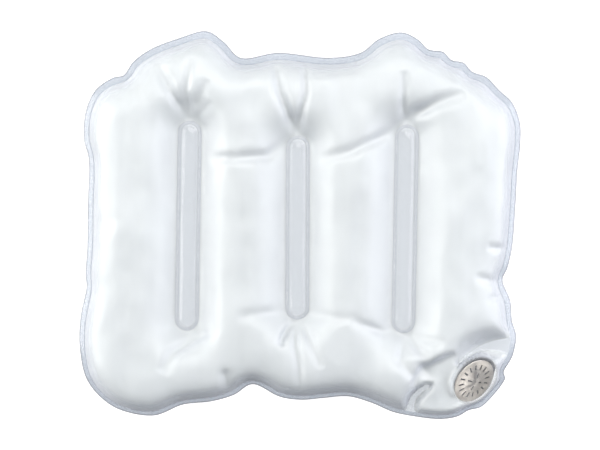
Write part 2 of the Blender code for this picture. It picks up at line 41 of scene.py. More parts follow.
# ---- Sizes of the plan ------------------------------------------------------------------

# points of the cut edge, clockwise seen from above, which a smooth curve joins
OUTLINE = [
    (-39, 79.5), (-31.5, 75), (-24, 68.4), (-9, 70.6), (10.5, 68.6), (24, 70.4), (32, 76.2),
    (41, 79), (48, 76.2), (52.5, 72), (58.5, 71), (62, 67.6), (67, 66.5), (70.5, 62.8),
    (76.5, 60.5), (81.5, 55.3), (87, 50), (90, 42), (90.2, 33), (89, 22), (88.2, 8),
    (87, -8), (85, -17.5), (82.9, -23), (86, -31), (86.8, -39.5), (88.5, -46), (87, -54),
    (83.6, -60.2), (84.2, -64), (80, -70), (74.5, -75.3), (69, -76.6), (64, -79), (57, -79.9),
    (48, -79), (38, -77), (29, -73.2), (19.5, -70.6), (9, -71.3), (0, -72), (-9, -70.6),
    (-19.5, -65.6), (-27.5, -70), (-37, -72.7), (-48.5, -74), (-60, -78.4), (-72.5, -76.7),
    (-81.5, -71.6), (-88.3, -62.8), (-90.8, -50), (-90.4, -38), (-88, -26), (-88.4, -20),
    (-87.6, -8), (-87.4, 8), (-87, 26), (-89, 35), (-88.4, 46), (-84.5, 55), (-77.5, 60.2),
    (-72.6, 61.5), (-68.5, 67.2), (-61, 72.4), (-50, 76.6),
]
FLANGE = 2.5            # width of the welded edge at the sides
FLANGE_SWING = 0.6      # how much wider it is along the top, and narrower along the bottom
FLANGE_LINE_SHARE = 0.62    # share of the flange's width at which a line of points runs along it
RIM = 0.4               # width of the rounded rim along the cut edge
RIM_ZONE = RIM + 0.1    # and of the rim's own material
EDGE_SOFTENING = 1.6    # over which the weld's inner line smooths the outline
SWING_SOFTENING = 2.0   # and over which the flange's width changes
CORNER = (78.5, -71.5)  # the pack's corner beside the disc, where the edge weld is low and narrow
CORNER_REACH = 11.0
CORNER_FLANGE = 2.0

BAR_HALF_WIDTH = 4.9
BAR_INSETS = (0.4, 0.8, 1.2, 1.6, 2.1)  # rings of points inside a bar, where its bead lies
BARS = {
    "left": ((-46.3, -38.3), (-45.1, 37.8)),
    "centre": ((-1.1, -33.8), (-0.9, 31.8)),
    "right": ((42.3, -39.3), (43.7, 36.3)),
}
GATE_TOP = [(64.3, -56.3), (67.2, -53.6), (71, -51), (75.5, -48.7), (80, -47.2), (86.5, -46.2)]
GATE_UPPER = GATE_TOP + [
    (85.8, -53.4), (83, -52), (79, -51.3), (76, -51.6), (72, -52.7), (68.2, -54.7), (65, -57),
]
GATE_LOWER = [
    (53.3, -65), (52.9, -66.3), (50, -68.4), (47.7, -70.9), (46.8, -73.8), (47, -77.2),
    (43.4, -76.7), (44.4, -72.7), (45.6, -70), (48, -67.4), (51, -65.4),
]

SPLITS = (-23.3, 21.0)  # the middle lines of the two inner lobes, where pieces meet
FINE_STEP = 0.1         # spacing of points along the outline while it is worked out
LINE_STEP = 0.85        # along the welds of the finished plan
MESH_STEP = 1.1         # and of the lattice between them
ROW_RISE = 0.866        # height of a lattice row, as a share of its step
CLEAR_SHARE = 0.62      # how far the lattice keeps off the lines, as a share of its step
LATTICE_HALF = (94, 84)     # half its sizes, which reach past the pack
ON_LINE = 0.05          # a point this near to a weld's line is on it

# ---- Sizes of the films -----------------------------------------------------------------

FILM = 0.35             # thickness of one film
HALF_WELD = 0.35        # half the thickness of two films fused together
CUT_HALF = 0.08         # what is left of that at the cut edge
GAP = 0.02              # left between pieces that touch
WELD_PLANE = 6.0        # height of the welds before they ride up or droop
BAR_LIFT = 2.0          # how far the bars ride up between the full lobes
BAR_LIFT_REACH = 9
GATE_LIFTS = [          # where each gate ends, how far that end rides up, and over what reach
    ((64.6, -56.4), 3.6, 7.0),
    ((52.6, -66), 2.6, 5.0),
]
CORNER_DROOP = 4.6      # how far the weld comes down at the corner beside the disc
EDGE_DROOP = 0.5        # slope of the edge weld, outward and down
FOOT_DROOP = 0.3        # and as much more along the bottom
DROOP_START, DROOP_REACH = 45, 20   # below the middle, where the bottom's droop begins
DROOP_LEFT = 0.9        # the least height that the edge weld droops to

CROWN = 16.2            # outside of the front film at the top of a lobe
HIGHEST = 16.45         # and the most that a swell may bring it to
LEAST_RISE = 0.05       # height at which the slope limits below begin, right beside a weld
FRONT_EASE = 3.7        # how far from the edge weld the front film takes to rise
FOOT_EASE = 0.75        # share of that along the bottom edge
FOOT_START, FOOT_REACH = 42, 18     # below the middle, where the bottom edge begins to count
BAR_EASE = 3.4          # how far the front film takes to rise from a bar
BAR_EASE_REACH = 12     # and how far from one it becomes the edge's
BAR_SLOPE = 1.05        # the steepest it climbs beside a bar
BAR_ROUNDING = 2.2      # how softly that slope meets the lobe
OVER_GATE = [(54, -56), (66, -51), (75, -46.5), (86, -43)]  # the lobe's foot above the upper gate
OVER_GATE_REACH = 4
GATE_EASE = 3.6         # how far it takes to rise there
GATE_SLOPE = 1.25       # the steepest that the lobe falls to the gate
GATE_ROUNDING = 0.9
POCKET = [(56.5, -66.5), (64, -63)]     # where the disc's pocket stays low
POCKET_LEVEL = 0.45     # its share of the way up to the crown
POCKET_REACH = (9.0, 15.5)
POCKET_ROUNDING = 0.05
NO_LIMIT = 1.3          # a share that no film reaches
BACK_EASE = 3.6         # how far the back film takes to drop from a weld
BACK_FILL = 1.12        # share of the way down to the table that the liquid pushes it: past 1 it lies flat
LIQUID_GAP = 0.05       # between the liquid and a film
LIQUID_EDGE = 0.01      # half the liquid's thickness where it ends at a weld

BEAD_INSET = 0.95       # from a bar's edge to the middle of its bead
BEAD_HEIGHT = 0.5
BEAD_WIDTH = 0.42
BEAD_ZONE = (0.8, 0.9)  # inset and half width of the bead's own material
WEB_HALF_WIDTH = 3.3
WEB_HEIGHT = 0.8
STREAK_HEIGHT = 0.18    # of the fine streaks along a web
SWELL_HEIGHT = 1.1      # of the slow waves in the filled film
RIB_HEIGHT = 0.3        # and of the fainter ribs along its lobes

# ---- Sizes of the disc and the folds ----------------------------------------------------

DISC_RADIUS = 9.7
DISC_DISH = 1.0
DISC_CENTRE = (71.2, -63.8, 7.4)
DISC_LEAN = math.radians(41)
DISC_FACING = math.radians(-41)
DISC_CLEAR = 2.1        # the front film's height over the disc, which leaves room for its click
DISC_UNDER = 1.2        # the back film's depth under the disc's rim plane
DISC_MARGIN = 0.8       # how far past the rim, in plan, the films keep that clear
CREASE_MARGIN = 1.0     # and the creased film
DISC_FALL = 2.0         # slope of that clear space beyond it
CLEAR_CENTRE = (71.5, -63.3, 0)     # where the pack is clear enough to show the disc
CLEAR_REACH = (10.0, 7.8)           # along its level axis and up its slope
SHADOW_CENTRE = (71.8, -62.0, 0)    # the disc's shadow in the liquid under it
SHADOW_REACH = (11.0, 9.0)
SHADOW_DEPTH = 0.4                  # how far under the disc's middle the shadow begins

NODES = {
    "front_film": {
        "left": ["front_film_left_outer", "edge_weld_left_outer", "weld_bar_left"],
        "centre": ["front_film_left_inner", "front_film_right_inner", "edge_weld_left_inner_top",
                   "edge_weld_right_inner_top", "weld_bar_centre"],
        "right": ["front_film_right_outer", "edge_weld_right_outer", "weld_bar_right",
                  "gate_weld_upper", "gate_weld_lower"],
    },
    "back_film": {
        "left": ["back_film_left_outer"],
        "centre": ["back_film_left_inner", "back_film_right_inner", "edge_weld_left_inner_bottom",
                   "edge_weld_right_inner_bottom"],
        "right": ["back_film_right_outer"],
    },
    "solution": {
        "left": ["solution_left_outer"],
        "centre": ["solution_left_inner", "solution_right_inner"],
        "right": ["solution_right_outer"],
    },
}


# ---- Lines in plan ----------------------------------------------------------------------

def resample(loop, step):
    closed = np.vstack([loop, loop[:1]])
    travelled = np.concatenate([[0], np.cumsum(np.linalg.norm(np.diff(closed, axis=0), axis=1))])
    at = np.linspace(0, travelled[-1], int(travelled[-1] / step) + 1)[:-1]
    return np.column_stack([np.interp(at, travelled, closed[:, k]) for k in (0, 1)])


def smooth_loop(points, step, span_steps=40):
    """A closed Catmull-Rom curve through the points."""
    knots = np.array(points, float)
    a, b = np.roll(knots, 1, axis=0)[:, None], knots[:, None]
    c, d = np.roll(knots, -1, axis=0)[:, None], np.roll(knots, -2, axis=0)[:, None]
    t = np.linspace(0, 1, span_steps, endpoint=False)[None, :, None]
    curve = 0.5 * (2 * b + (c - a) * t + (2 * a - 5 * b + 4 * c - d) * t**2
                   + (3 * b - a - 3 * c + d) * t**3)
    return resample(curve.reshape(-1, 2), step)


def softened(loop, reach, step=FINE_STEP):
    half = int(3 * reach / step)
    weights = np.exp(-0.5 * (np.arange(-half, half + 1) * step / reach) ** 2)
    weights /= weights.sum()
    padded = np.vstack([loop[-half:], loop, loop[:half]])
    return np.column_stack([np.convolve(padded[:, k], weights, mode="valid") for k in (0, 1)])


def inward(loop, distance):
    along = np.roll(loop, -1, axis=0) - np.roll(loop, 1, axis=0)
    along /= np.linalg.norm(along, axis=1)[:, None]
    return loop + np.column_stack([along[:, 1], -along[:, 0]]) * np.asarray(distance)[..., None]


def obround(low, high, radius):
    low, high = Vector(low), Vector(high)
    heading = math.atan2(high.y - low.y, high.x - low.x)
    steps = max(8, int(math.pi * radius / LINE_STEP))
    turns = np.linspace(math.pi / 2, -math.pi / 2, steps + 1)
    arc = [Vector((math.cos(heading + a), math.sin(heading + a))) * radius for a in turns]
    side_steps = int((high - low).length / LINE_STEP)
    ring = [high + p for p in arc]
    ring += [(high + arc[-1]).lerp(low + arc[-1], k / side_steps) for k in range(1, side_steps)]
    ring += [low - p for p in arc]
    ring += [(low - arc[-1]).lerp(high - arc[-1], k / side_steps) for k in range(1, side_steps)]
    return np.array([tuple(p) for p in ring])


def to_segments(points, starts, ends):
    """Distance to the nearest segment, and how far along them all the nearest point is."""
    along = ends - starts
    length_squared = np.maximum((along ** 2).sum(axis=1), 1e-12)
    best = np.full(len(points), 1e9)
    share = np.zeros(len(points))
    for index in range(len(starts)):
        offset = points - starts[index]
        at = np.clip(offset @ along[index] / length_squared[index], 0, 1)
        distance = np.linalg.norm(offset - at[:, None] * along[index], axis=1)
        nearer = distance < best
        best[nearer] = distance[nearer]
        share[nearer] = (index + at[nearer]) / len(starts)
    return best, share


def to_loop(points, loop):
    return to_segments(points, loop, np.roll(loop, -1, axis=0))[0]


def to_line(points, line):
    knots = np.array(line, float)
    return to_segments(points, knots[:-1], knots[1:])


def near(points, line, reach):
    """1 on the line, fading over the reach."""
    return np.exp(-(to_line(points, line)[0] / reach) ** 2)


def inside(points, polygon):
    result = np.zeros(len(points), bool)
    for (x0, y0), (x1, y1) in zip(polygon, np.roll(polygon, -1, axis=0)):
        if y0 == y1:
            continue
        crosses = (points[:, 1] > y0) != (points[:, 1] > y1)
        result ^= crosses & (points[:, 0] < x0 + (points[:, 1] - y0) / (y1 - y0) * (x1 - x0))
    return result


def centred(loop):
    return loop - (loop.min(axis=0) + loop.max(axis=0)) / 2


def to_corner(points):
    return np.linalg.norm(points - CORNER, axis=1) / CORNER_REACH


def flange_width(edge):
    """Width of the edge weld at each point of the softened edge."""
    facing_up = softened(edge - inward(edge, 1.0), SWING_SOFTENING)[:, 1]
    width = FLANGE + FLANGE_SWING * facing_up
    return width + (CORNER_FLANGE - width) * np.exp(-to_corner(edge)**2)


FINE_EDGE = centred(smooth_loop(OUTLINE, FINE_STEP))
SOFT_EDGE = softened(FINE_EDGE, EDGE_SOFTENING)
FLANGE_WIDTH = flange_width(SOFT_EDGE)
EDGE = resample(FINE_EDGE, LINE_STEP)
RIM_LINE = resample(inward(FINE_EDGE, RIM), LINE_STEP)
FLANGE_LINE = resample(inward(SOFT_EDGE, FLANGE_LINE_SHARE * FLANGE_WIDTH), LINE_STEP)
WELD_LINE = resample(inward(SOFT_EDGE, FLANGE_WIDTH), LINE_STEP)
BAR_LOOPS = [obround(*ends, BAR_HALF_WIDTH) for ends in BARS.values()]
BAR_RINGS = [obround(*ends, BAR_HALF_WIDTH - inset) for ends in BARS.values() for inset in BAR_INSETS]
GATES = [resample(np.array(gate, float), LINE_STEP) for gate in (GATE_UPPER, GATE_LOWER)]


# ---- Mesh in plan -----------------------------------------------------------------------

def crossing(x, upper):
    """Y at which the pack's edge crosses the given X."""
    side = FINE_EDGE[(FINE_EDGE[:, 1] > 0) == upper]
    return side[np.argmin(np.abs(side[:, 0] - x)), 1]


def split_line(x):
    """Points from the bottom edge to the top one, where two pieces meet."""
    low, high = (crossing(x, upper) for upper in (False, True))
    count = int((high - low) / MESH_STEP)
    return np.column_stack([np.full(count + 1, x), np.linspace(low, high, count + 1)])


def clear_of(points, fixed, distance):
    """True for points further than the distance from every fixed point."""
    cell = 2.0
    buckets = {}
    for p in fixed:
        buckets.setdefault((int(p[0] // cell), int(p[1] // cell)), []).append(p)
    clear = np.ones(len(points), bool)
    for index, p in enumerate(points):
        column, row = int(p[0] // cell), int(p[1] // cell)
        for i in (column - 1, column, column + 1):
            for j in (row - 1, row, row + 1):
                for q in buckets.get((i, j), ()):
                    if (p[0] - q[0]) ** 2 + (p[1] - q[1]) ** 2 < distance ** 2:
                        clear[index] = False
    return clear


def lattice(fixed):
    """A triangular lattice that fills the pack between the fixed points."""
    rows = np.arange(-LATTICE_HALF[1], LATTICE_HALF[1], MESH_STEP * ROW_RISE)
    columns = np.arange(-LATTICE_HALF[0], LATTICE_HALF[0], MESH_STEP)
    points = np.array([(x + (row % 2) * MESH_STEP / 2, y) for row, y in enumerate(rows) for x in columns])
    points = points[inside(points, EDGE)]
    return points[clear_of(points, fixed, CLEAR_SHARE * MESH_STEP)]


def plan_mesh():
    """Points and triangles of the whole pack seen from above, with edges along every weld."""
    points, edges = [], []

    def add_line(line, closed):
        first = len(points)
        points.extend(map(tuple, line))
        last = len(points) - 1
        edges.extend((k, k + 1) for k in range(first, last))
        if closed:
            edges.append((last, first))

    loops = [EDGE, RIM_LINE, FLANGE_LINE, WELD_LINE, *BAR_LOOPS, *BAR_RINGS, *GATES]
    splits = [split_line(x) for x in SPLITS]
    for loop in loops:
        add_line(loop, closed=True)
    for line in splits:
        add_line(line, closed=False)
    points.extend(map(tuple, lattice(np.vstack(loops + splits))))
    verts, _, faces, *_ = delaunay_2d_cdt([Vector(p) for p in points], edges, [], 0, 1e-4)
    verts, faces = np.array([tuple(v) for v in verts]), np.array(faces)
    faces = faces[inside(verts[faces].mean(axis=1), EDGE)]
    a, b, c = (verts[faces[:, k]] for k in range(3))
    turned = (b[:, 0] - a[:, 0]) * (c[:, 1] - a[:, 1]) - (b[:, 1] - a[:, 1]) * (c[:, 0] - a[:, 0])
    faces[turned < 0] = faces[turned < 0][:, ::-1]
    return verts, faces


verts, faces = plan_mesh()

# how far each point is from the cut edge, the edge weld's inner line and the nearest bar, and which
# points lie in a weld
to_cut = to_loop(verts, EDGE)
to_flange = to_loop(verts, WELD_LINE)
to_bar = np.min([to_loop(verts, loop) for loop in BAR_LOOPS], axis=0)
in_flange = ~inside(verts, WELD_LINE)
on_flange = in_flange | (to_flange < ON_LINE)
held = on_flange.copy()
for loop in (*BAR_LOOPS, *GATES):
    held |= inside(verts, loop) | (to_loop(verts, loop) < ON_LINE)
free = ~held


# ---- Heights ----------------------------------------------------------------------------

def weld_height():
    lift = sum(BAR_LIFT * near(verts, ends, BAR_LIFT_REACH) for ends in BARS.values())
    lift += sum(height * near(verts, [end, end], reach) for end, height, reach in GATE_LIFTS)
    return WELD_PLANE + lift - CORNER_DROOP * np.exp(-to_corner(verts)**4)


class Membrane:
    """A film held at its welds and pushed out by the liquid, solved on the plan's triangles."""

    COTANGENTS = (0.02, 4)  # least and greatest, which keep thin triangles stable
    FIRST_GUESS = 0.8

    def __init__(self):
        starts, ends, weights = [], [], []
        self.area = np.zeros(len(verts))
        for k in range(3):
            i, j, o = faces[:, k], faces[:, (k + 1) % 3], faces[:, (k + 2) % 3]
            u, v = verts[i] - verts[o], verts[j] - verts[o]
            cross = np.abs(u[:, 0] * v[:, 1] - u[:, 1] * v[:, 0])
            cotangent = np.clip((u * v).sum(axis=1) / np.maximum(cross, 1e-9), *self.COTANGENTS) / 2
            starts += [i, j]
            ends += [j, i]
            weights += [cotangent, cotangent]
            self.area += np.bincount(i, cross / 6, len(verts))
        self.starts, self.ends = np.concatenate(starts), np.concatenate(ends)
        self.weights = np.concatenate(weights)
        self.total = np.bincount(self.starts, self.weights, len(verts))

    def spread(self, values):
        return np.bincount(self.starts, self.weights * values[self.ends], len(values))

    def solve(self, ease, floor=None, rounds=500):
        """0 where held, rising to 1 over about the ease distance, and nowhere under the floor."""
        pull = self.area / ease**2
        values = np.where(held, 0.0, self.FIRST_GUESS)
        for _ in range(rounds):
            values = (pull + self.spread(values)) / (pull + self.total)
            values[held] = 0
            if floor is not None:
                values = np.maximum(values, np.where(held, 0, floor))
        return values

    def smooth(self, values, rounds):
        for _ in range(rounds):
            mean = self.spread(values) / self.total
            values = np.where(held, values, 0.5 * values + 0.5 * mean)
        return values


def disc_frame():
    facing = Vector((math.cos(DISC_FACING), math.sin(DISC_FACING), 0))
    level = Vector((-facing.y, facing.x, 0))
    normal = facing * math.sin(DISC_LEAN) + Vector((0, 0, math.cos(DISC_LEAN)))
    return Vector(DISC_CENTRE), level, normal.cross(level), normal


def beside_disc(margin):
    """At each point, the height of the disc's rim plane, how far its dish stands over that plane, and
    how far outside the rim and the margin the point is."""
    centre, level, climb, normal = disc_frame()
    offset = verts - np.array(centre[:2])
    along = offset @ np.array(level[:2])
    plan_climb = np.array(climb[:2])
    up = offset @ plan_climb / (plan_climb @ plan_climb)
    from_middle = np.hypot(along, up)
    shrink = np.minimum(1, DISC_RADIUS / np.maximum(from_middle, 1e-9))
    dish = DISC_DISH / normal.z * np.maximum(1 - (from_middle / DISC_RADIUS) ** 2, 0)
    return centre.z + up * shrink * climb.z, dish, np.maximum(from_middle - DISC_RADIUS - margin, 0)


def over_disc(margin):
    """The least height of the front film."""
    plane, dish, outside = beside_disc(margin)
    return plane + dish + DISC_CLEAR - DISC_FALL * outside


def under_disc(margin):
    """The greatest height of the back film."""
    plane, _, outside = beside_disc(margin)
    return plane - DISC_UNDER + DISC_FALL * outside


def soft_least(a, b, reach):
    """The smaller of two rises, rounded over the reach where they cross, and 0 where either is."""
    return -reach * np.log(np.exp(-a / reach) + np.exp(-b / reach) - np.exp(-(a + b) / reach))


def front_ease():
    """How far the front film takes to rise from the nearest weld."""
    ease = BAR_EASE + (FRONT_EASE - BAR_EASE) * np.clip(to_bar / BAR_EASE_REACH, 0, 1)
    ease *= 1 - (1 - FOOT_EASE) * np.clip((-verts[:, 1] - FOOT_START) / FOOT_REACH, 0, 1)
    return ease + (GATE_EASE - ease) * near(verts, OVER_GATE, OVER_GATE_REACH)


def pocket_limit():
    """The most that the front film rises in the disc's pocket, as a share of the way to the crown."""
    low, high = POCKET_REACH
    share = np.clip((to_line(verts, POCKET)[0] - low) / (high - low), 0, 1)
    return POCKET_LEVEL + (NO_LIMIT - POCKET_LEVEL) * share**2 * (3 - 2 * share)


def front_height(membrane):
    """Outside of the front film before it is creased."""
    base = weld + HALF_WELD
    floor = (over_disc(DISC_MARGIN) - base) / (CROWN - base)
    rise = soft_least(membrane.solve(front_ease(), floor), pocket_limit(), POCKET_ROUNDING)
    stand = (CROWN - base) * np.maximum(rise, np.where(held, 0, floor))
    stand = soft_least(stand, BAR_SLOPE * to_bar + LEAST_RISE, BAR_ROUNDING)
    gate = np.array(GATE_TOP)
    past_end = np.maximum(gate[0, 0] - verts[:, 0], 0)
    fall = GATE_SLOPE * to_line(verts, GATE_TOP)[0] + past_end + LEAST_RISE
    above = verts[:, 1] > np.interp(verts[:, 0], gate[:, 0], gate[:, 1])
    return base + np.where(above, soft_least(stand, fall, GATE_ROUNDING), stand)


def back_height(membrane):
    """Outside of the back film, flat on the table under the lobes."""
    base = weld - HALF_WELD
    drop = BACK_FILL * membrane.solve(BACK_EASE)
    back = np.minimum(base * (1 - drop), np.maximum(under_disc(DISC_MARGIN), 0))
    return np.maximum(membrane.smooth(np.maximum(back, 0), rounds=3), 0)


def edge_droop():
    slope = EDGE_DROOP + FOOT_DROOP * np.clip((-verts[:, 1] - DROOP_START) / DROOP_REACH, 0, 1)
    return np.minimum(slope * np.where(in_flange, to_flange, 0), np.maximum(weld - DROOP_LEFT, 0))


def cut_rounding():
    """How far each film's outside draws in towards the cut edge."""
    inset = np.clip(to_cut / RIM, 0, 1)
    return (HALF_WELD - CUT_HALF) * (1 - np.sqrt(1 - (1 - inset) ** 2))


# ---- Creases and swells -----------------------------------------------------------------

CREASE_SCALE = 1.25     # every depth below is multiplied by this
CREASE_FADE = 0.45      # the smaller, the longer a crease keeps its depth
CREASE_FULL = 1 / 1.6   # share of the way up to the crown from which creases have their full depth
# Each is a line, its half width, and how deep the front film folds in along it.
CREASES = [
    # above the left bar
    ([(-45.5, 41), (-48.5, 48), (-53, 56), (-57, 64)], 2.2, 2.2),
    ([(-57.5, 66), (-57, 60), (-54, 54)], 3.0, 0.7),
    ([(-63, 63), (-65, 57), (-66, 50)], 3.0, 0.9),
    ([(-44.8, 42), (-45, 48), (-46.5, 54), (-44, 68)], 1.7, 1.7),
    ([(-44.5, 41), (-40, 46), (-36, 50)], 1.8, 0.9),
    ([(-41, 50), (-38, 59)], 2.2, 0.8),
    # above the centre bar
    ([(-1.5, 36), (-4, 44), (-8, 54), (-10.5, 68)], 2.2, 2.6),
    ([(-0.8, 36), (0.5, 46), (2.6, 54), (1.6, 70)], 1.6, 2.0),
    ([(-7, 32.5), (-13, 28.0), (-24, 27.3), (-37, 27)], 2.3, 1.9),
    # above the right bar
    ([(43.8, 41), (47, 45), (55, 49.5), (67, 53.5)], 2.6, 3.0),
    ([(43.2, 41), (42, 48), (42.4, 62)], 1.8, 1.9),
    ([(42.5, 40), (34, 36), (20, 29.6), (8, 26.8)], 2.2, 1.9),
    # below the left bar
    ([(-40.5, -44), (-46, -48), (-52, -52.5), (-55.5, -60)], 2.3, 2.3),
    ([(-46, -43), (-40, -46), (-33, -41)], 1.9, 0.6),
    # below the centre bar
    ([(-3, -39.5), (-6.5, -45), (-8, -49)], 1.5, 3.0),
    ([(-1.5, -38), (-1.8, -48), (-0.2, -58), (0, -68)], 1.6, 1.7),
    ([(-0.5, -38), (4, -46), (8.5, -58)], 1.7, 1.6),
    ([(-2.5, -36), (-12, -36), (-26, -37)], 2.4, 1.0),
    ([(0, -36), (10, -37.5), (25, -38)], 2.2, 1.0),
    # below the right bar
    ([(41, -43), (34, -43.6), (21, -39)], 1.9, 1.7),
    ([(43, -43.5), (50, -46.5), (59, -47.5)], 1.8, 1.1),
    ([(44, -44), (48, -50), (53, -55)], 2.2, 2.4),
    ([(49, -57), (52.5, -61), (52, -65)], 2.4, 1.5),
    ([(43, -44), (41, -55), (46, -62)], 2.2, 1.8),
    # under the upper gate
    ([(78, -53.2), (81.5, -53.0), (86, -55.5)], 1.1, 2.5),
    ([(72, -54.6), (78, -53.0), (82, -53.0)], 1.1, 2.0),
    # puckers along the edges
    ([(86, -9), (81, -9.6), (76, -9)], 1.4, 1.3),
    ([(84, -23), (78, -23), (71, -21)], 1.9, 1.5),
    ([(85, -30), (81, -29.6), (76, -30)], 1.4, 1.3),
    ([(-89, 1), (-80, 0), (-72, 3)], 3.5, 0.8),
    ([(-30, -61), (-29.2, -68)], 2.4, 1.5),
]


def crease(rise):
    """How far the front film is drawn in, deepest at each crease's start and fading to its far end."""
    drawn = np.zeros(len(verts))
    for line, width, depth in CREASES:
        away, share = to_line(verts, line)
        fade = np.cos(np.clip(share, 0, 1) * math.pi / 2) ** CREASE_FADE
        drawn += CREASE_SCALE * depth * fade * np.exp(-(away / width) ** 2)
    return drawn * np.clip(rise / CREASE_FULL, 0, 1)


def waves(length, width, seed):
    """Noise from -1 to 1 whose waves have that length along X and that width along Y."""
    return np.array([noise.noise(Vector((x / length, y / width, seed))) for x, y in verts])


def swells(rise):
    """Slow waves in the filled film, with fainter ribs that run along its lobes."""
    slow = waves(17, 30, seed=3.1) + 0.45 * waves(8, 10, seed=7.7)
    ribs = waves(4.5, 28, seed=5.2)
    return (SWELL_HEIGHT * slow + RIB_HEIGHT * ribs) * rise


def bar_relief():
    """A bar's rounded bead, and its web, which stands a little proud with fine streaks along it."""
    relief = np.zeros(len(verts))
    streaks = waves(0.9, 30, seed=1.7)
    for ends in BARS.values():
        away = to_line(verts, ends)[0]
        relief += BEAD_HEIGHT * np.exp(-((away - BAR_HALF_WIDTH + BEAD_INSET) / BEAD_WIDTH) ** 2)
        web = np.clip(1 - (away / WEB_HALF_WIDTH) ** 2, 0, 1)
        relief += web * WEB_HEIGHT + np.minimum(web * 3, 1) * STREAK_HEIGHT * streaks
    return relief


def creased(front):
    rise = np.clip((front - weld - HALF_WELD) / (CROWN - WELD_PLANE), 0, 1)
    shaped = np.maximum(front - crease(rise) + swells(rise), weld + HALF_WELD)
    shaped = np.maximum(shaped, over_disc(CREASE_MARGIN))
    return np.minimum(np.where(free, shaped, front), HIGHEST)


# ---- Materials --------------------------------------------------------------------------

NOISE_RANGE = (0.3, 0.7)    # between which the values of a noise mostly lie
GRAIN = 0.00002         # depth of the fine grain, in metres as everything inside a material is
SLANT_RANGE = (0.12, 0.6)   # of facing, over which a film's colour changes to its slanted one
BODY_AT_SLANT = 0.9     # how solid a film is edge on
BODY_POWER = 2.5        # the greater, the closer to edge on it turns so
GLOSS_AT_SLANT = 0.5    # what is added to a film's gloss edge on
GLOSS_POWER = 4.0
BODY_OVER_DISC = 0.3    # share of a film's body that is left over the disc
CLEAR_FADE = 1.12       # where the clear ellipse over the disc ends, as a share of its reach
SHADOW_FADE = 0.85      # where the disc's shadow is full, as a share of its reach
SHADOW_SOLID = 0.93     # how solid the liquid is there


